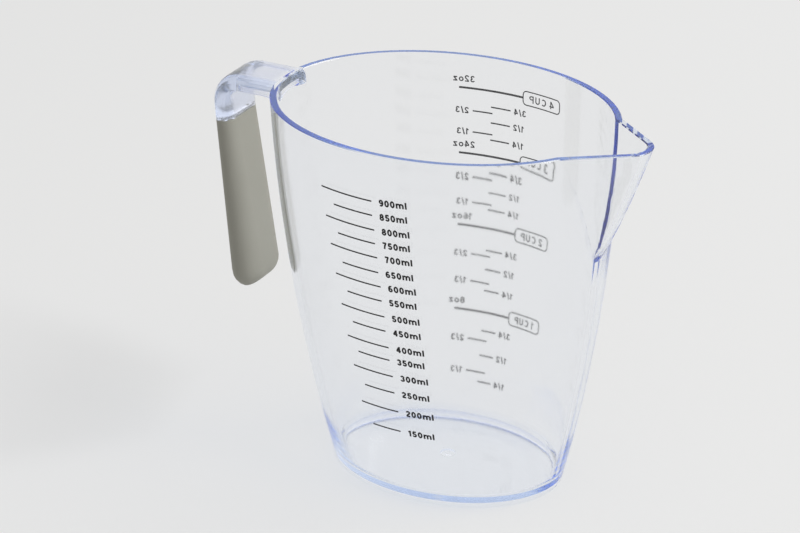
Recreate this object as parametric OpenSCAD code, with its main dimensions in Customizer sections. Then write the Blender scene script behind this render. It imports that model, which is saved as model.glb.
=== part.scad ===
/* [Jug body] */
// Height of the jug, from the foot to the rim
jug_height = 146; // [125:1:165]
// Half length of the oval rim, from the middle towards the spout
rim_half_length = 66.4; // [62:0.1:72]
// Half width of the oval rim
rim_half_width = 49.6; // [48:0.1:54]
// Half length of the tapered wall where it meets the ground
base_half_length = 45.5; // [41:0.1:50]
// Half width of the tapered wall where it meets the ground
base_half_width = 33.4; // [31:0.1:38]
// Share of the taper that follows the bowed curve, the rest is straight
wall_bow_share = 0.79; // [0.4:0.01:0.9]
// Thickness of the clear wall
wall = 2.5; // [1.8:0.1:3.2]
// Bevel on both edges of the rim
rim_edge = 0.35; // [0.2:0.05:0.6]

/* [Base] */
// Height of the inside floor
floor_top = 4.6; // [4:0.1:6]
// Radius between the floor and the inside wall
floor_fillet = 2.6; // [1.5:0.1:4]
// Radius of the outer corner at the ground
foot_corner = 0.9; // [0.6:0.1:1.6]
// Width of the ring that the jug stands on
foot_ring = 1.3; // [0.8:0.1:2]
// Depth of the hollow under the floor
foot_recess = 2.6; // [1.2:0.1:2.8]
// Radius of the moulding gate's dimple under the floor
gate_radius = 2.9; // [2:0.1:4]
// Depth of the gate's dimple
gate_depth = 0.6; // [0.3:0.1:0.8]
// Radius of the gate's stub
gate_stub_radius = 1; // [0.6:0.1:1.4]
// Drop of the gate's stub, from the dimple
gate_stub_drop = 0.9; // [0.6:0.1:1.2]

/* [Spout] */
// How far the spout reaches past the oval rim
spout_reach = 16.6; // [11:0.1:20]
// Height of the spout's channel, down from the rim
spout_drop = 46.8; // [36:0.1:60]
// Half of the angle between the spout's sides
spout_half_angle = 35.4; // [33:0.1:42]
// Outer radius of the spout's tip at the rim
spout_tip_radius = 9.4; // [6:0.1:11]
// Outer radius of the spout's keel at its foot
spout_foot_radius = 6; // [4:0.1:7]
// Turn of the spout towards the back, less than 0 is towards the front
spout_turn = -2.2; // [-4:0.1:4]
// Bow of the keel, 1 is straight
keel_bow_share = 0.9; // [0.7:0.05:1]

/* [Handle] */
// Width of the arm
arm_width = 21; // [18:0.5:23]
// Depth of the arm's sides at the wall
arm_root_depth = 7.1; // [6.4:0.1:8]
// Depth of the arm's sides away from the wall
arm_depth = 5.8; // [5.2:0.1:6.4]
// Distance from the jug's middle to the start of the elbow
arm_reach = 80.7; // [79:0.1:88]
// Outer radius of the elbow
elbow_radius = 12; // [10:0.5:13]
// Angle that the handle leans in towards the jug
handle_lean = 3.2; // [0:0.1:8]
// Radius of the arm's upper long edges
arm_edge = 4; // [2:0.1:4.4]
// Radius of the arm's lower long edges
arm_lower_edge = 0.6; // [0.4:0.1:0.9]
// Length of the flare where the arm meets the wall
arm_flare = 7; // [5:0.5:9]
// Thickness of the plate over the arm's pocket
pocket_roof = 4.3; // [3.4:0.1:4.8]
// Thickness of the sides and the outer end round the pocket
pocket_wall = 2.5; // [2:0.1:3.2]
// Thickness of the web between the pocket and the jug's wall
pocket_web = 0.8; // [0.6:0.1:2]
// Radius of the pocket's outer corners
pocket_corner = 4; // [2:0.1:5]
// Rise of the arch under the arm at the wall
arch_rise = 1.4; // [1:0.1:2.4]

/* [Grip] */
// Thickness of the handle where the grip starts
grip_top_thickness = 7.8; // [7:0.1:9]
// Thickness of the handle near its free end
grip_end_thickness = 12.4; // [10:0.1:13]
// Width of the handle where the grip starts
grip_top_width = 22; // [20:0.5:25]
// Width of the handle near its free end
grip_end_width = 24.6; // [22:0.1:28]
// How far the rounding of the long edges reaches across the handle
grip_edge = 5.2; // [4:0.1:6]
// Distance from the end of the elbow to the start of the grip
tang_neck = 6.5; // [4:0.1:9]
// Length of the grip
grip_length = 68.5; // [58:0.5:80]
// Radius of the grip's free end
grip_end_radius = 7; // [5:0.1:9]
// Thickness of the soft grip over the tang
grip_skin = 2; // [1.4:0.1:2.6]
// Gap between the tang and the soft grip
grip_gap = 0.1; // [0.05:0.01:0.2]

/* [Printed scales] */
// Thickness of the printed ink
ink = 0.14; // [0.08:0.01:0.3]
// Gap between the wall and the ink
ink_gap = 0.05; // [0.03:0.01:0.1]
// Width of the thin printed lines
thin_line = 0.5; // [0.3:0.05:0.8]
// Width of the thick printed lines
thick_line = 0.75; // [0.5:0.05:1.2]
// Width of the frame lines
frame_line = 0.4; // [0.3:0.05:0.6]
// Length of the top label frame
frame_length_top = 17.3; // [14:0.1:20]
// Length of the bottom label frame
frame_length_low = 15; // [12:0.1:18]
// Height of each label frame
frame_height = 5.8; // [4:0.1:7]
// Radius of the label frame's corners
frame_corner = 1.7; // [1:0.1:2.2]

// Left end of the top line of the hundreds
hundred_left_top = -24.5; // [-28:0.5:-20]
// Left end of the bottom line of the hundreds
hundred_left_low = -14; // [-18:0.5:-10]
// Left end of the top line of the fifties
fifty_left_top = -19; // [-22:0.5:-16]
// Left end of the bottom line of the fifties
fifty_left_low = -9.8; // [-13:0.1:-7]
// Right end of the top metric line
metric_right_top = -2.4; // [-5:0.1:0]
// Right end of the bottom metric line
metric_right_low = 1.9; // [0:0.1:4]
// Handle end of the top cup line
cup_left_top = -18.7; // [-22:0.1:-15]
// Handle end of the bottom cup line
cup_left_low = -17.4; // [-20:0.1:-14]
// Spout end of the top cup line
cup_right_top = 7.4; // [5:0.1:10]
// Spout end of the bottom cup line
cup_right_low = 5.5; // [4:0.1:9]
// Handle end of the quarter cup lines
quarter_left = -5.9; // [-7:0.1:-4]
// Length of the top quarter cup line
quarter_length_top = 8.2; // [6:0.1:10]
// Length of the bottom quarter cup line
quarter_length_low = 5.6; // [4:0.1:8]
// Handle end of the top third cup line
third_left_top = -13.3; // [-16:0.1:-10]
// Handle end of the bottom third cup line
third_left_low = -11; // [-14:0.1:-8]
// Length of the third cup lines
third_length = 8; // [6:0.1:9]

/* [Hidden] */
$fn = 64;
clear_blue = [0.86, 0.89, 0.97, 0.35];
warm_grey = [0.62, 0.61, 0.57];
black = [0.12, 0.11, 0.11];
// One overrun for all cuts
over = 1;
// Counts of points and levels
body_steps = 76;
spout_steps = 32;
low_levels = 6;
spout_levels = 6;
corner_steps = 3;
edge_steps = 5;
elbow_steps = 8;
flare_steps = 4;
grip_steps = 5;
end_steps = 5;
line_steps = 8;
// Least half angle of the spout's part of a ring
least_spout = 2.5;
// Direction from the middle past which no ring belongs to the spout
widest_spout = 60;

// Heights of the printed marks, as shares of the jug's height
hundred_height_shares = [0.284, 0.389, 0.473, 0.561, 0.645, 0.725, 0.800, 0.877];
fifty_height_shares = [0.224, 0.340, 0.436, 0.520, 0.605, 0.684, 0.763, 0.839];
cup_height_shares = [0.302, 0.533, 0.728, 0.907];
quarter_height_shares = [
    0.109, 0.182, 0.250, 0.363, 0.420, 0.472, 0.584, 0.631, 0.680, 0.773, 0.820, 0.863];
third_height_shares = [0.135, 0.223, 0.383, 0.456, 0.598, 0.664, 0.788, 0.846];

// A value that goes from a to b as the share goes from 0 to 1, and stays there
function between(a, b, share) = a + (b - a) * min(1, max(0, share));

// The wall is an oval whose taper bows outwards, drawn in by an inset
function fall_share(z) = let (s = 1 - z / jug_height) (1 - wall_bow_share) * s + wall_bow_share * s * s;
function half_length(z, inset) = between(rim_half_length, base_half_length, fall_share(z)) - inset;
function half_width(z, inset) = between(rim_half_width, base_half_width, fall_share(z)) - inset;
function oval(z, inset, a) =
    1 / sqrt(pow(cos(a) / half_length(z, inset), 2) + pow(sin(a) / half_width(z, inset), 2));

// The spout's section at a height: two straight sides that a round tip joins
spout_foot = jug_height - spout_drop;
function rise_share(z) = max(0, min(1, (z - spout_foot) / spout_drop));
function tip_radius(z, inset) = between(spout_foot_radius, spout_tip_radius, rise_share(z)) - inset;
function tip_centre(z, inset) =
    half_length(z, inset) + spout_reach * pow(rise_share(z), keel_bow_share) - tip_radius(z, inset);
function tip_bend(c, r) = atan2(r * cos(spout_half_angle), c + r * sin(spout_half_angle));
function tip_side(c, r, a) = (c * sin(spout_half_angle) + r) / sin(a + spout_half_angle);
function tip_round(c, r, a) = c * cos(a) + sqrt(max(0, r * r - pow(c * sin(a), 2)));
function spout(z, inset, a) =
    let (c = tip_centre(z, inset), r = tip_radius(z, inset), b = abs(a - spout_turn))
    z <= spout_foot || b > widest_spout ? 0 : b > tip_bend(c, r) ? tip_side(c, r, b) : tip_round(c, r, b);

// Directions of the seams where the spout leaves the oval, found by halving the span on a side
function seam(z, inset, side, low = 0, high = widest_spout, n = 20) =
    let (mid = (low + high) / 2, a = spout_turn + side * mid)
    n == 0 ? spout_turn + side * max(least_spout, mid)
    : spout(z, inset, a) > oval(z, inset, a) ? seam(z, inset, side, mid, high, n - 1)
    : seam(z, inset, side, low, mid, n - 1);
function ring_angles(z, inset) =
    let (from = seam(z, inset, -1), to = seam(z, inset, 1))
    concat([for (i = [0 : spout_steps - 1]) between(from, to, i / spout_steps)],
        [for (i = [0 : body_steps - 1]) between(to, from + 360, i / body_steps)]);
function ring(z, inset) = [for (a = ring_angles(z, inset))
    max(oval(z, inset, a), spout(z, inset, a)) * [cos(a), sin(a), 0] + [0, 0, z]];
function round_ring(z, r, angles) = [for (a = angles) [r * cos(a), r * sin(a), z]];

// Levels up a wall from its foot, with one at the foot of the spout
function wall_levels(foot) = concat(
    [for (i = [1 : low_levels]) between(foot, spout_foot, i / low_levels)],
    [for (i = [1 : spout_levels - 1]) between(spout_foot, jug_height - rim_edge, i / spout_levels)]);
function upside_down(list) = [for (i = [len(list) - 1 : -1 : 0]) list[i]];

// Rings of the jug: the gate's stub and dimple, the foot, the outside, the rim and the inside
foot_inset = foot_corner + foot_ring;
dimple_z = foot_recess + gate_depth;
vessel_rings = concat(
    [for (g = [[dimple_z - gate_stub_drop, gate_stub_radius], [dimple_z, gate_stub_radius],
        [dimple_z, gate_radius], [foot_recess, gate_radius]]) round_ring(g[0], g[1], ring_angles(0, 0))],
    [ring(foot_recess, foot_inset), ring(0, foot_inset)],
    [for (i = [0 : corner_steps]) let (t = 90 * i / corner_steps)
        ring(foot_corner * (1 - cos(t)), foot_corner * (1 - sin(t)))],
    [for (z = wall_levels(foot_corner)) ring(z, 0)],
    [ring(jug_height - rim_edge, 0), ring(jug_height, rim_edge),
        ring(jug_height, wall - rim_edge), ring(jug_height - rim_edge, wall)],
    [for (z = upside_down(wall_levels(floor_top + floor_fillet))) ring(z, wall)],
    [for (i = [0 : corner_steps]) let (t = 90 * i / corner_steps)
        ring(floor_top + floor_fillet * (1 - sin(t)), wall + floor_fillet * (1 - cos(t)))]);

// Sides of a skin between rings of n points, the last joined to the first where it is closed
function skin_sides(n, m, closed) =
    [for (j = [0 : m - (closed ? 1 : 2)]) for (i = [0 : n - 1])
        let (a = j * n, b = ((j + 1) % m) * n, k = (i + 1) % n)
        each [[a + i, b + i, b + k], [a + i, b + k, a + k]]];
module skin(rings, closed = false) {
    n = len(rings[0]);
    m = len(rings);
    caps = closed ? [] : [[for (i = [0 : n - 1]) i], [for (i = [1 : n]) m * n - i]];
    polyhedron([for (r = rings) each r], concat(skin_sides(n, m, closed), caps), convexity = 10);
}

// The handle's outer line: the arm, the elbow after a turn t, and a distance d below the elbow
turn = 90 + handle_lean;
elbow_z = jug_height - elbow_radius;
function outward(t) = [-sin(t), 0, cos(t)];
function outer_point(t, d) = [-arm_reach, 0, elbow_z] + elbow_radius * outward(t) - d * [cos(t), 0, sin(t)];

// A rounded section that hangs inwards from the outer line. Each edge is an arc
// whose reach is given through the section and across it
function edge_arc(start, u, v, through, across) =
    [for (i = [0 : edge_steps]) let (a = start + 90 * i / edge_steps)
        [u + through * cos(a), v + across * sin(a)]];
function outline(thick, width, upper, lower) = concat(
    edge_arc(0, -upper[0], width / 2 - upper[1], upper[0], upper[1]),
    edge_arc(90, lower[0] - thick, width / 2 - lower[1], lower[0], lower[1]),
    edge_arc(180, lower[0] - thick, lower[1] - width / 2, lower[0], lower[1]),
    edge_arc(270, -upper[0], upper[1] - width / 2, upper[0], upper[1]));
function section(origin, t, points) = [for (p = points) origin + p[0] * outward(t) + [0, p[1], 0]];

// The arm starts inside the wall and flares there
root_reach = half_length(jug_height, wall) + rim_edge;
arm_upper = [arm_edge, arm_edge];
arm_lower = [arm_lower_edge, arm_lower_edge];
function arm_ring(share) =
    let (depth = between(arm_depth, arm_root_depth, pow(1 - share, 2)))
    section([-root_reach - arm_flare * share, 0, jug_height], 0,
        outline(depth, arm_width, arm_upper, arm_lower));

// The section changes along the elbow and grows down the grip
grip_bottom = tang_neck + grip_length;
grip_straight = grip_length - grip_end_radius;
function grip_share(d) = (d - tang_neck) / grip_straight;
function grip_thick(d) = between(grip_top_thickness, grip_end_thickness, grip_share(d));
function grip_wide(d) = between(grip_top_width, grip_end_width, grip_share(d));
function grip_edges(d) = [grip_thick(d) / 2, grip_edge * grip_thick(d) / grip_top_thickness];
function elbow_ring(share) =
    section(outer_point(turn * share, 0), turn * share, outline(
        between(arm_depth, grip_top_thickness, share), between(arm_width, grip_top_width, share),
        [for (i = [0, 1]) between(arm_upper[i], grip_edges(0)[i], share)],
        [for (i = [0, 1]) between(arm_lower[i], grip_edges(0)[i], share)]));

// A section of the grip, drawn in on every side
function grip_ring(d, inset) =
    let (edges = [for (e = grip_edges(d)) e - inset])
    section(outer_point(turn, d) - inset * outward(turn), turn,
        outline(grip_thick(d) - 2 * inset, grip_wide(d) - 2 * inset, edges, edges));
// Section of the free end at a turn from its flank, where it narrows to a blunt tip
function end_ring(a) =
    let (d = tang_neck + grip_straight + grip_end_radius * sin(a))
    grip_ring(d, grip_thick(d) / 2 * (1 - cos(a)));

// Levels down the grip
grip_levels = [for (i = [0 : grip_steps]) tang_neck + grip_straight * i / grip_steps];
blunt_turn = 84;

module vessel() skin(vessel_rings);

module handle_bar() {
    skin(concat(
        [for (i = [0 : flare_steps]) arm_ring(i / flare_steps)],
        [for (i = [0 : elbow_steps]) elbow_ring(i / elbow_steps)],
        [grip_ring(tang_neck, 0)],
        [for (d = grip_levels) grip_ring(d, grip_skin + grip_gap)]));
}

// Plan of the pocket under the arm, with its outer corners rounded
pocket_from = half_length(jug_height, 0) + pocket_web;
pocket_to = arm_reach + pocket_wall;
pocket_width = arm_width - 2 * pocket_wall;
module pocket_plan() {
    translate([-pocket_to + pocket_corner, -pocket_width / 2])
        square([pocket_to - pocket_corner - pocket_from, pocket_width]);
    translate([-pocket_to, -pocket_width / 2 + pocket_corner])
        square([pocket_to - pocket_from, pocket_width - 2 * pocket_corner]);
    for (side = [-1, 1])
        translate([-pocket_to + pocket_corner, side * (pocket_width / 2 - pocket_corner)])
            circle(pocket_corner);
}

module handle() {
    arch_radius = (pow(pocket_width / 2, 2) + pow(arch_rise, 2)) / (2 * arch_rise);
    difference() {
        handle_bar();
        translate([0, 0, jug_height - elbow_radius])
            linear_extrude(elbow_radius - pocket_roof)
                pocket_plan();
        translate([-pocket_from - over, 0, jug_height - arm_root_depth + arch_rise - arch_radius])
            rotate([0, 90, 0])
                cylinder(r = arch_radius, h = pocket_from - root_reach + 2 * over);
    }
}

module jug_body() {
    color(clear_blue) {
        vessel();
        handle();
    }
}

module grip_sleeve() {
    color(warm_grey)
        skin(concat(
            [for (d = upside_down(grip_levels)) grip_ring(d + (d > tang_neck ? grip_gap : 0), grip_skin)],
            [for (d = grip_levels) grip_ring(d, 0)],
            [for (i = [1 : end_steps]) end_ring(blunt_turn * i / end_steps)]));
}

// A point of the ink at a distance from the wall, on the front, where the side is -1, or on
// the back, where it is 1. The back's marks are drawn on the front and then mirrored
front = -1;
back = 1;
function on_wall(x, z, gap, side) =
    let (a = acos(x / half_length(z, -gap)), y = half_width(z, -gap) * sin(a), b = atan2(y, x),
        r = max(oval(z, -gap, b), spout(z, -gap, side * b)))
    [r * cos(b), -r * sin(b), z];
function ink_ring(low, high, side) = [
    on_wall(low[0], low[1], ink_gap + ink, side), on_wall(low[0], low[1], ink_gap, side),
    on_wall(high[0], high[1], ink_gap, side), on_wall(high[0], high[1], ink_gap + ink, side)];
function mark_share(share, shares) = (share - shares[0]) / (shares[len(shares) - 1] - shares[0]);

module printed_line(left, right, z, width, side) {
    skin([for (i = [0 : line_steps]) let (x = between(left, right, i / line_steps))
        ink_ring([x, z - width / 2], [x, z + width / 2], side)]);
}

// Lines whose ends move steadily from the lowest mark to the top mark
module printed_lines(side, shares, width, left_low, left_top, right_low, right_top) {
    for (share = shares) {
        s = mark_share(share, shares);
        printed_line(between(left_low, left_top, s), between(right_low, right_top, s),
            share * jug_height, width, side);
    }
}

module ml_hundred_lines() {
    color(black)
        printed_lines(front, hundred_height_shares, thin_line,
            hundred_left_low, hundred_left_top, metric_right_low, metric_right_top);
}

module ml_fifty_lines() {
    color(black)
        printed_lines(front, fifty_height_shares, thin_line,
            fifty_left_low, fifty_left_top, metric_right_low, metric_right_top);
}

// The cup scale is printed on the back of the jug
module cup_lines() {
    color(black)
        mirror([0, 1, 0])
            printed_lines(back, cup_height_shares, thick_line,
                cup_left_low, cup_left_top, cup_right_low, cup_right_top);
}

module quarter_cup_lines() {
    color(black)
        mirror([0, 1, 0])
            printed_lines(back, quarter_height_shares, thin_line, quarter_left, quarter_left,
                quarter_left + quarter_length_low, quarter_left + quarter_length_top);
}

module third_cup_lines() {
    color(black)
        mirror([0, 1, 0])
            printed_lines(back, third_height_shares, thin_line, third_left_low, third_left_top,
                third_left_low + third_length, third_left_top + third_length);
}

// Outline of a label frame, drawn in by an inset
function frame_outline(length, inset) =
    let (r = frame_corner - inset, l = length / 2 - frame_corner, h = frame_height / 2 - frame_corner)
    concat(
        [for (i = [0 : line_steps]) [-l + 2 * l * i / line_steps, -h - r]],
        [for (i = [1 : edge_steps]) let (a = 90 * i / edge_steps) [l + r * sin(a), -h - r * cos(a)]],
        [for (i = [0 : edge_steps]) let (a = 90 * i / edge_steps) [l + r * cos(a), h + r * sin(a)]],
        [for (i = [1 : line_steps]) [l - 2 * l * i / line_steps, h + r]],
        [for (i = [1 : edge_steps]) let (a = 90 * i / edge_steps) [-l - r * sin(a), h + r * cos(a)]],
        [for (i = [0 : edge_steps - 1]) let (a = 90 * i / edge_steps) [-l - r * cos(a), -h - r * sin(a)]]);

module cup_frames() {
    color(black)
        mirror([0, 1, 0])
            for (share = cup_height_shares) {
                s = mark_share(share, cup_height_shares);
                length = between(frame_length_low, frame_length_top, s);
                start = between(cup_right_low, cup_right_top, s);
                middle = [start + ink_gap + length / 2, share * jug_height];
                outer = frame_outline(length, 0);
                inner = frame_outline(length, frame_line);
                skin([for (i = [0 : len(outer) - 1]) ink_ring(middle + outer[i], middle + inner[i], back)],
                    closed = true);
            }
}

jug_body();
grip_sleeve();
ml_hundred_lines();
ml_fifty_lines();
cup_lines();
cup_frames();
quarter_cup_lines();
third_cup_lines();
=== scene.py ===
import math

import bmesh
import bpy
from mathutils import Euler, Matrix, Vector
from mathutils.bvhtree import BVHTree


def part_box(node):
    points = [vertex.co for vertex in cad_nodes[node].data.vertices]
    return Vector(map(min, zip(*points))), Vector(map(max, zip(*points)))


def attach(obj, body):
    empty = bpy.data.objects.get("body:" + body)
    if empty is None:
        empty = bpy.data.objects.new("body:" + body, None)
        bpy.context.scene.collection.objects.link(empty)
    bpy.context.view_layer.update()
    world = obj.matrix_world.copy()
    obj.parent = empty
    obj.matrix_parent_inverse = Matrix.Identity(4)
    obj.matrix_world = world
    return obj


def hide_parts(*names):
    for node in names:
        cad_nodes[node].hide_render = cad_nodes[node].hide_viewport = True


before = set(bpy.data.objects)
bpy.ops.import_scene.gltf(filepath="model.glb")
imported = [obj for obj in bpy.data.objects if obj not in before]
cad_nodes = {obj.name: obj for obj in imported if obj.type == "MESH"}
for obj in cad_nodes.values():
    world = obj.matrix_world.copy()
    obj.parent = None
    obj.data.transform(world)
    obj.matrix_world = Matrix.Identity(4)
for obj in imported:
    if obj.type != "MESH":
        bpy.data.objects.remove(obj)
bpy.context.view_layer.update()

MM = 0.001
WHITE = (1, 1, 1, 1)


# Camera
# It looks down on the front right of the jug through a long lens, as in the photograph.
camera_data = bpy.data.cameras.new("camera")
camera_data.sensor_width = 36
camera_data.lens = 129.6
camera = bpy.data.objects.new("camera", camera_data)
camera.location = (0.45323, -0.83428, 0.54767)
camera.rotation_euler = Euler((math.radians(63.877), math.radians(1.013), math.radians(29.028)))
bpy.context.scene.collection.objects.link(camera)
bpy.context.scene.camera = camera


# Jug body
# The vessel, its spout and its handle are one moulding of clear plastic with a faint blue cast.
# Light that has come a long way through the plastic leaves the rim and the spout deep blue.
def shader_group(name, inputs, outputs):
    """An empty node group with float inputs, given with their values, and named outputs."""
    group = bpy.data.node_groups.new(name, "ShaderNodeTree")
    for label, value in inputs.items():
        socket = group.interface.new_socket(label, in_out="INPUT", socket_type="NodeSocketFloat")
        socket.default_value = value
    for label, kind in outputs.items():
        group.interface.new_socket(label, in_out="OUTPUT", socket_type=kind)
    return group, group.nodes.new("NodeGroupInput"), group.nodes.new("NodeGroupOutput")


def moulded_surface():
    """Roughness and height of a moulded skin, which has slow waves and fine specks. Both scales
    count per metre, and the height runs from 0 to 1."""
    sizes = {"Roughness": 0.1, "Roughness Spread": 0.05,
             "Wave Scale": 60, "Speck Scale": 900, "Speck Share": 0.3}
    outputs = {"Roughness": "NodeSocketFloat", "Height": "NodeSocketFloat"}
    group, given, result = shader_group("moulded surface", sizes, outputs)
    nodes, links = group.nodes, group.links
    place = nodes.new("ShaderNodeTexCoord")
    waves = nodes.new("ShaderNodeTexNoise")
    waves.inputs["Detail"].default_value = 2
    specks = nodes.new("ShaderNodeTexNoise")
    specks.inputs["Detail"].default_value = 3
    for noise, scale in ((waves, "Wave Scale"), (specks, "Speck Scale")):
        links.new(place.outputs["Object"], noise.inputs["Vector"])
        links.new(given.outputs[scale], noise.inputs["Scale"])
    height = nodes.new("ShaderNodeMix")
    links.new(given.outputs["Speck Share"], height.inputs["Factor"])
    links.new(waves.outputs["Fac"], height.inputs["A"])
    links.new(specks.outputs["Fac"], height.inputs["B"])
    links.new(height.outputs["Result"], result.inputs["Height"])
    spread = nodes.new("ShaderNodeMath")
    spread.operation = "MULTIPLY_ADD"
    links.new(waves.outputs["Fac"], spread.inputs[0])
    links.new(given.outputs["Roughness Spread"], spread.inputs[1])
    links.new(given.outputs["Roughness"], spread.inputs[2])
    links.new(spread.outputs["Value"], result.inputs["Roughness"])
    return group


SURFACE = moulded_surface()


def new_material(name, **values):
    """A material whose Principled shader has these plain values."""
    material = bpy.data.materials.new(name)
    material.use_nodes = True
    shader = material.node_tree.nodes["Principled BSDF"]
    for label, value in values.items():
        shader.inputs[label.replace("_", " ")].default_value = value
    return material, shader


def give_surface(material, shader, depth, **values):
    """Adds the moulded skin to a material. Its relief is depth metres."""
    nodes, links = material.node_tree.nodes, material.node_tree.links
    surface = nodes.new("ShaderNodeGroup")
    surface.node_tree = SURFACE
    for label, value in values.items():
        surface.inputs[label.replace("_", " ")].default_value = value
    bump = nodes.new("ShaderNodeBump")
    bump.inputs["Distance"].default_value = depth
    links.new(surface.outputs["Height"], bump.inputs["Height"])
    links.new(bump.outputs["Normal"], shader.inputs["Normal"])
    links.new(surface.outputs["Roughness"], shader.inputs["Roughness"])
    return surface


def joined_form(node):
    """A bmesh of a CAD node with its loose triangles joined."""
    form = bmesh.new()
    form.from_mesh(cad_nodes[node].data)
    bmesh.ops.remove_doubles(form, verts=form.verts, dist=0.000005)
    return form


def add_piece(name, mesh, material):
    """Adds a mesh of one material to the jug."""
    mesh.materials.clear()
    mesh.materials.append(material)
    piece = bpy.data.objects.new(name, mesh)
    bpy.context.scene.collection.objects.link(piece)
    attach(piece, "root")
    return piece


def smooth_piece(name, form, crease, material):
    """Makes a form a piece of the jug. Edges that turn by less than crease degrees look soft."""
    for face in form.faces:
        face.smooth = True
    for edge in form.edges:
        edge.smooth = edge.calc_face_angle(math.pi) < math.radians(crease)
    mesh = bpy.data.meshes.new(name)
    form.to_mesh(mesh)
    if "custom_normal" in mesh.attributes:
        mesh.attributes.remove(mesh.attributes["custom_normal"])
    return add_piece(name, mesh, material)


clear_plastic, clear_shader = new_material(
    "clear_plastic", Base_Color=WHITE, Transmission_Weight=1, IOR=1.49)
clear_surface = give_surface(
    clear_plastic, clear_shader, 0.01 * MM, Roughness=0.04, Roughness_Spread=0.02, Speck_Share=0.05)
clear_nodes, clear_links = clear_plastic.node_tree.nodes, clear_plastic.node_tree.links

# The handle is hazier than the vessel, and a painted grey-blue shade tints its plastic darker and
# bluer. The change starts past the rim, on the side of -X, and is full a little further out
HANDLE_START = -66.5 * MM
HANDLE_FULL = -68.5 * MM
HANDLE_PAINTED_SHADE = (0.86, 0.875, 0.95, 1)
HANDLE_HAZE = 0.11
object_place = clear_nodes.new("ShaderNodeTexCoord")
along = clear_nodes.new("ShaderNodeSeparateXYZ")
handle_part = clear_nodes.new("ShaderNodeMapRange")
handle_part.inputs["From Min"].default_value = HANDLE_START
handle_part.inputs["From Max"].default_value = HANDLE_FULL
clear_links.new(object_place.outputs["Object"], along.inputs["Vector"])
clear_links.new(along.outputs["X"], handle_part.inputs["Value"])
# Painted shade: the handle's plastic is tinted a darker grey blue than the vessel's, though both are
# one moulding
handle_painted_shade = clear_nodes.new("ShaderNodeMix")
handle_painted_shade.data_type = "RGBA"
handle_painted_shade.inputs["A"].default_value = WHITE
handle_painted_shade.inputs["B"].default_value = HANDLE_PAINTED_SHADE
clear_links.new(handle_part.outputs["Result"], handle_painted_shade.inputs["Factor"])
clear_links.new(handle_painted_shade.outputs["Result"], clear_shader.inputs["Base Color"])
handle_haze = clear_nodes.new("ShaderNodeMath")
handle_haze.operation = "MULTIPLY_ADD"
handle_haze.inputs[1].default_value = HANDLE_HAZE
clear_links.new(handle_part.outputs["Result"], handle_haze.inputs[0])
clear_links.new(clear_surface.outputs["Roughness"], handle_haze.inputs[2])
clear_links.new(handle_haze.outputs["Value"], clear_shader.inputs["Roughness"])

# The plastic takes up red first and then green, so a long way through it leaves blue
depth_colour = clear_nodes.new("ShaderNodeVolumeAbsorption")
depth_colour.inputs["Color"].default_value = (0.1, 0.38, 0.86, 1)
depth_colour.inputs["Density"].default_value = 10
clear_links.new(depth_colour.outputs["Volume"], clear_nodes["Material Output"].inputs["Volume"])

# Shadow and diffuse rays pass straight through the plastic. Otherwise the floor and the ink
# round the jug turn dark
straight_light = clear_nodes.new("ShaderNodeBsdfTransparent")
straight_light.inputs["Color"].default_value = WHITE
ray_kind = clear_nodes.new("ShaderNodeLightPath")
passes_straight = clear_nodes.new("ShaderNodeMath")
passes_straight.operation = "MAXIMUM"
clear_mix = clear_nodes.new("ShaderNodeMixShader")
clear_links.new(ray_kind.outputs["Is Shadow Ray"], passes_straight.inputs[0])
clear_links.new(ray_kind.outputs["Is Diffuse Ray"], passes_straight.inputs[1])
clear_links.new(passes_straight.outputs["Value"], clear_mix.inputs["Fac"])
clear_links.new(clear_shader.outputs["BSDF"], clear_mix.inputs[1])
clear_links.new(straight_light.outputs["BSDF"], clear_mix.inputs[2])
clear_links.new(clear_mix.outputs["Shader"], clear_nodes["Material Output"].inputs["Surface"])

# The tang that the grip hides is a piece of its own, so that the clear plastic ends at the joint
HANDLE_LEAN = math.radians(3.2)
JOINT_SLACK = 0.01 * MM
grip_up = Vector((-math.sin(HANDLE_LEAN), 0, math.cos(HANDLE_LEAN)))
joint_height = max(v.co.dot(grip_up) for v in cad_nodes["grip_sleeve"].data.vertices)
grip_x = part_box("grip_sleeve")[1].x


def is_tang(face):
    """True for a face of the jug that lies inside the grip, below its upper edge."""
    middle = face.calc_center_median()
    return middle.x < grip_x and middle.dot(grip_up) < joint_height - JOINT_SLACK


CLEAR_CREASE = 17
RUBBER_CREASE = 40
jug_form = joined_form("jug_body")
tang_form = jug_form.copy()
bmesh.ops.delete(jug_form, geom=[f for f in jug_form.faces if is_tang(f)], context="FACES")
bmesh.ops.delete(tang_form, geom=[f for f in tang_form.faces if not is_tang(f)], context="FACES")
for form in (jug_form, tang_form):
    bmesh.ops.holes_fill(form, edges=[e for e in form.edges if e.is_boundary])
jug = smooth_piece("clear_jug", jug_form, CLEAR_CREASE, clear_plastic)
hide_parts("jug_body")


# Grip
# A soft sleeve of warm grey rubber is moulded round the handle. Its skin is matt and finely grained.
grip_rubber, grip_shader = new_material(
    "grip_rubber", Base_Color=(0.263, 0.256, 0.217, 1), Specular_IOR_Level=0.35)
give_surface(grip_rubber, grip_shader, 0.08 * MM, Roughness=0.55, Roughness_Spread=0.15,
             Wave_Scale=120, Speck_Scale=2400, Speck_Share=0.7)

grip = smooth_piece("soft_grip", joined_form("grip_sleeve"), RUBBER_CREASE, grip_rubber)
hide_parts("grip_sleeve")
smooth_piece("bonded_tang", tang_form, RUBBER_CREASE, grip_rubber)


# Scale lines
# The marks of both scales are printed on the outside of the wall in one black ink.
scale_ink, ink_shader = new_material(
    "scale_ink", Base_Color=(0.012, 0.011, 0.011, 1), Specular_IOR_Level=0.3)
give_surface(scale_ink, ink_shader, 0.01 * MM, Roughness=0.4, Roughness_Spread=0.2, Speck_Scale=3000)

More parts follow.
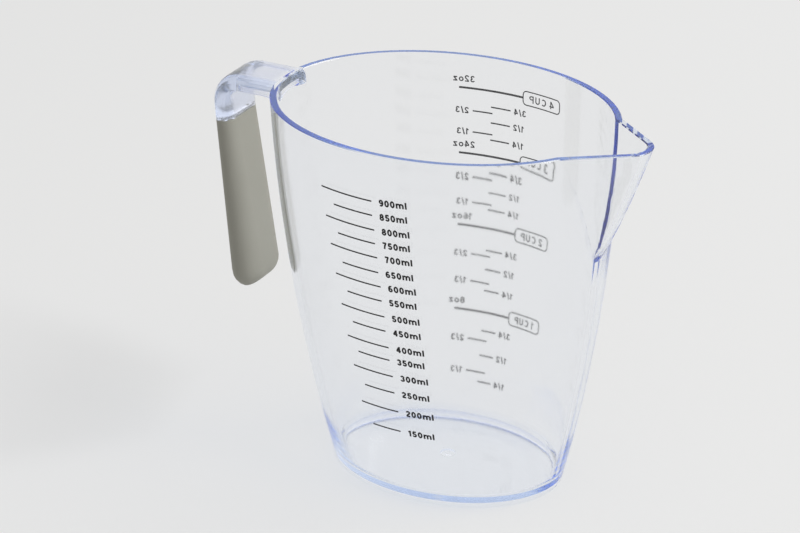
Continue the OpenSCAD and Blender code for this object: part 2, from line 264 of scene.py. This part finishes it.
INK_NODES = ("ml_hundred_lines", "ml_fifty_lines", "cup_lines", "cup_frames",
             "quarter_cup_lines", "third_cup_lines")
for ink_node in INK_NODES:
    for material_slot in cad_nodes[ink_node].material_slots:
        material_slot.material = scale_ink


# Scale labels
# Numerals and letters of the same ink stand beside the marks, millilitres on the front and
# cups and ounces on the back. Each one is drawn with strokes of an even width, laid on the wall.
FRONT = -1
BACK = 1


def arc(x, y, across, up, start, end, steps=14):
    """Points on an oval arc from one angle to another, in degrees."""
    turns = [math.radians(start + (end - start) * i / steps) for i in range(steps + 1)]
    return [(x + across * math.cos(t), y + up * math.sin(t)) for t in turns]


# Each letter is its width and its strokes, as shares of a capital's height
LETTERS = {
    "0": (0.60, [arc(0.3, 0.5, 0.21, 0.405, 0, 360, 24)]),
    "1": (0.42, [[(0.29, 1), (0.29, 0)], [(0.05, 0.76), (0.18, 0.81), (0.27, 0.93)]]),
    "2": (0.58, [arc(0.29, 0.69, 0.2, 0.215, 170, -20) + [(0.4, 0.5), (0.2, 0.3), (0.1, 0.11)],
                 [(0.05, 0.095), (0.55, 0.095)]]),
    "3": (0.58, [arc(0.28, 0.71, 0.18, 0.195, 165, -85), arc(0.28, 0.3, 0.21, 0.205, 85, -165)]),
    "4": (0.62, [[(0.42, 0.96), (0.08, 0.33)], [(0.04, 0.3), (0.62, 0.3)], [(0.44, 1), (0.44, 0)]]),
    "5": (0.58, [[(0.13, 0.905), (0.52, 0.905)], [(0.15, 0.95), (0.11, 0.47)],
                 arc(0.28, 0.32, 0.21, 0.225, 140, -160)]),
    "6": (0.60, [arc(0.3, 0.31, 0.2, 0.215, 0, 360, 20), arc(0.33, 0.5, 0.24, 0.405, 55, 195)]),
    "7": (0.58, [[(0.04, 0.905), (0.55, 0.905)], [(0.5, 0.93), (0.33, 0.5), (0.25, 0)]]),
    "8": (0.60, [arc(0.3, 0.71, 0.17, 0.195, 0, 360, 20), arc(0.3, 0.3, 0.21, 0.205, 0, 360, 20)]),
    "9": (0.60, [arc(0.3, 0.69, 0.2, 0.215, 0, 360, 20), arc(0.27, 0.5, 0.24, 0.405, -125, 15)]),
    "m": (1.04, [[(0.1, 0.75), (0.1, 0)],
                 arc(0.31, 0.45, 0.21, 0.19, 180, 0) + [(0.52, 0)],
                 arc(0.73, 0.45, 0.21, 0.19, 180, 0) + [(0.94, 0)]]),
    "l": (0.20, [[(0.1, 1), (0.1, 0)]]),
    "o": (0.62, [arc(0.31, 0.365, 0.22, 0.27, 0, 360, 20)]),
    "z": (0.56, [[(0.06, 0.635), (0.52, 0.635)], [(0.46, 0.62), (0.1, 0.1)],
                 [(0.04, 0.095), (0.54, 0.095)]]),
    "C": (0.66, [arc(0.35, 0.5, 0.26, 0.405, 48, 312, 20)]),
    "U": (0.64, [[(0.1, 1)] + arc(0.32, 0.34, 0.22, 0.245, 180, 360) + [(0.54, 1)]]),
    "P": (0.60, [[(0.1, 1), (0.1, 0)],
                 [(0.1, 0.905)] + arc(0.32, 0.69, 0.2, 0.215, 90, -90) + [(0.1, 0.475)]]),
    "/": (0.34, [[(0.04, -0.04), (0.3, 1.04)]]),
    " ": (0.12, []),
}


def marks(node, gap=4 * MM):
    """The marks of a CAD node from the lowest up: each one's least x, most x and middle z. Two
    marks lie more than gap apart in height."""
    points = sorted((v.co.z, v.co.x) for v in cad_nodes[node].data.vertices)
    groups = [[points[0]]]
    for last, point in zip(points, points[1:]):
        if point[0] - last[0] > gap:
            groups.append([])
        groups[-1].append(point)
    return [(min(x for z, x in g), max(x for z, x in g), (g[0][0] + g[-1][0]) / 2) for g in groups]


def words_width(words, height, gap, breadth):
    """How far words reach. Their gap is a share of their height, as the letters' widths are."""
    return height * breadth * (sum(LETTERS[letter][0] for letter in words) + gap * (len(words) - 1))


def write(curve, words, start, height, gap, turn, side, breadth):
    """Adds words to a flat curve. They start at a point of the wall, by x and z, climb by the
    angle turn and are read from that side of the jug."""
    pen = 0
    for letter in words:
        width, strokes = LETTERS[letter]
        for stroke in strokes:
            closed = (Vector(stroke[0]) - Vector(stroke[-1])).length < 0.01
            points = stroke[:-1] if closed else stroke
            line = curve.splines.new("POLY")
            line.points.add(len(points) - 1)
            line.use_cyclic_u = closed
            for point, (x, y) in zip(line.points, points):
                across = (pen + x) * height * breadth
                up = y * height
                along = across * math.cos(turn) - up * math.sin(turn)
                wall_x = start[0] - side * along
                wall_z = start[1] + across * math.sin(turn) + up * math.cos(turn)
                point.co = (wall_x, wall_z, 0, 1)
                point.tilt = math.pi / 2
        pen += width + gap


wall_finder = BVHTree.FromBMesh(jug_form)
CLEAR_OF_JUG = 200 * MM
INK_GAP = 0.05 * MM
INK_THICK = 0.14 * MM


def print_labels(name, stroke, side, texts):
    """One piece with the texts, each given as words, start, height, gap, turn and breadth."""
    curve = bpy.data.curves.new(name, "CURVE")
    curve.dimensions = "3D"
    curve.twist_mode = "Z_UP"
    curve.bevel_depth = INK_THICK / 2
    curve.bevel_resolution = 0
    curve.extrude = stroke / 2 - INK_THICK / 2
    curve.use_fill_caps = True
    for words, start, height, gap, turn, breadth in texts:
        write(curve, words, start, height, gap, turn, side, breadth)
    draft = bpy.data.objects.new(name + "_draft", curve)
    bpy.context.scene.collection.objects.link(draft)
    drawn = draft.evaluated_get(bpy.context.evaluated_depsgraph_get())
    mesh = bpy.data.meshes.new_from_object(drawn)
    bpy.data.objects.remove(draft)
    for vertex in mesh.vertices:
        x, z, lift = vertex.co
        outside = Vector((x, side * CLEAR_OF_JUG, z))
        point, normal, _, _ = wall_finder.ray_cast(outside, Vector((0, -side, 0)))
        vertex.co = point + normal * (INK_GAP + INK_THICK / 2 + lift)
    form = bmesh.new()
    form.from_mesh(mesh)
    bmesh.ops.remove_doubles(form, verts=form.verts, dist=0.000001)
    bmesh.ops.recalc_face_normals(form, faces=form.faces)
    form.to_mesh(mesh)
    form.free()
    add_piece(name, mesh, scale_ink)


# Millilitre labels to the right of their marks. They climb by TOP_TURN degrees at TOP_HEIGHT,
# and by less further down
ML_HEIGHT = 2.5 * MM
ML_GAP = 0.18
ML_BREADTH = 1.12
ML_STROKE = 0.68 * MM
ML_SPACE = 3.1 * MM
TOP_HEIGHT = 130 * MM
TOP_TURN = 3.5
TURN_LOSS = 4
ml_texts = []
for ml_node, first in (("ml_hundred_lines", 200), ("ml_fifty_lines", 150)):
    for step, (x_low, x_high, z) in enumerate(marks(ml_node)):
        turn = math.radians(TOP_TURN - TURN_LOSS * (1 - z / TOP_HEIGHT))
        ml_texts.append((f"{first + 100 * step}ml", (x_high + ML_SPACE, z - ML_HEIGHT / 2),
                         ML_HEIGHT, ML_GAP, turn, ML_BREADTH))
print_labels("ml_labels", ML_STROKE, FRONT, ml_texts)

# Cup labels in their frames. A frame that is shorter than the top one has narrower letters
CUP_HEIGHT = 2.8 * MM
CUP_GAP = 0.16
CUP_BREADTH = 1.25
BACK_STROKE = 0.5 * MM
frames = marks("cup_frames")
cup_texts = []
for step, (x_low, x_high, z) in enumerate(frames):
    words = f"{step + 1} CUP"
    breadth = CUP_BREADTH * (x_high - x_low) / (frames[-1][1] - frames[-1][0])
    start = (x_low + x_high + words_width(words, CUP_HEIGHT, CUP_GAP, breadth)) / 2
    cup_texts.append((words, (start, z - CUP_HEIGHT / 2), CUP_HEIGHT, CUP_GAP, 0, breadth))
print_labels("cup_labels", BACK_STROKE, BACK, cup_texts)

# Ounce labels over the handle end of the cup lines
OUNCE_HEIGHT = 2.6 * MM
OUNCE_GAP = 0.12
OUNCE_BREADTH = 1.2
OUNCE_OVERHANG = 2.3 * MM
OUNCE_LIFT = 2.4 * MM
ounce_texts = []
for step, (x_low, x_high, z) in enumerate(marks("cup_lines")):
    words = f"{8 * (step + 1)}oz"
    start = x_low - OUNCE_OVERHANG + words_width(words, OUNCE_HEIGHT, OUNCE_GAP, OUNCE_BREADTH)
    ounce_texts.append((words, (start, z + OUNCE_LIFT), OUNCE_HEIGHT, OUNCE_GAP, 0, OUNCE_BREADTH))
print_labels("ounce_labels", BACK_STROKE, BACK, ounce_texts)

# Labels of the parts of a cup, quarters and halves towards the spout and thirds towards the handle
PART_HEIGHT = 2.45 * MM
PART_GAP = 0.16
PART_BREADTH = 1.15
PART_SPACE = 1.5 * MM
part_texts = []
for node, texts, towards_spout in (("quarter_cup_lines", ("1/4", "1/2", "3/4"), True),
                                   ("third_cup_lines", ("1/3", "2/3"), False)):
    for step, (x_low, x_high, z) in enumerate(marks(node)):
        words = texts[step % len(texts)]
        width = words_width(words, PART_HEIGHT, PART_GAP, PART_BREADTH)
        start = x_high + PART_SPACE + width if towards_spout else x_low - PART_SPACE
        part_texts.append((words, (start, z - PART_HEIGHT / 2), PART_HEIGHT, PART_GAP, 0, PART_BREADTH))
print_labels("cup_part_labels", BACK_STROKE, BACK, part_texts)


# Floor and light
# A plain pale floor runs out to a sky of the same tone. Soft light comes from all round, with
# a broad lamp over the right that leaves the handle's front side darker.
floor_form = bmesh.new()
bmesh.ops.create_circle(floor_form, cap_ends=True, segments=96, radius=6)
floor_mesh = bpy.data.meshes.new("floor")
floor_form.to_mesh(floor_mesh)
floor_form.free()
floor = bpy.data.objects.new("floor", floor_mesh)
bpy.context.scene.collection.objects.link(floor)
floor_paint, _ = new_material(
    "floor_paint", Base_Color=(0.84, 0.84, 0.836, 1), Roughness=0.9, Specular_IOR_Level=0)
floor.data.materials.append(floor_paint)

# Matt surfaces get half of the sky's light, because the lamp lights them too. Gloss and clear
# plastic get the extra as well, and so see about the tone of the lit floor
SKY_LIGHT = 0.48
SKY_EXTRA = 0.47
world = bpy.data.worlds.new("studio")
world.use_nodes = True
world_nodes, world_links = world.node_tree.nodes, world.node_tree.links
sky = world_nodes["Background"]
sky.inputs["Color"].default_value = WHITE
world_rays = world_nodes.new("ShaderNodeLightPath")
seen = world_nodes.new("ShaderNodeMath")
seen.operation = "MAXIMUM"
world_links.new(world_rays.outputs["Is Glossy Ray"], seen.inputs[0])
world_links.new(world_rays.outputs["Is Transmission Ray"], seen.inputs[1])
strength = world_nodes.new("ShaderNodeMath")
strength.operation = "MULTIPLY_ADD"
strength.inputs[1].default_value = SKY_EXTRA
strength.inputs[2].default_value = SKY_LIGHT
world_links.new(seen.outputs["Value"], strength.inputs[0])
world_links.new(strength.outputs["Value"], sky.inputs["Strength"])
bpy.context.scene.world = world

# The lamp faces the middle of the jug, and isn't seen through the clear plastic
lamp_data = bpy.data.lights.new("right_lamp", "AREA")
lamp_data.size = 7
lamp_data.energy = 613
lamp = bpy.data.objects.new("right_lamp", lamp_data)
lamp.visible_transmission = False
lamp.location = (6, 1.8, 4.6)
lamp.rotation_euler = (lamp.location - Vector((0, 0, 0.07))).to_track_quat("Z", "Y").to_euler()
bpy.context.scene.collection.objects.link(lamp)

scene = bpy.context.scene
scene.view_settings.view_transform = "Standard"
scene.cycles.max_bounces = 512
scene.cycles.transmission_bounces = 512
scene.cycles.glossy_bounces = 512
scene.cycles.transparent_max_bounces = 32
scene.cycles.caustics_refractive = False
scene.cycles.caustics_reflective = False
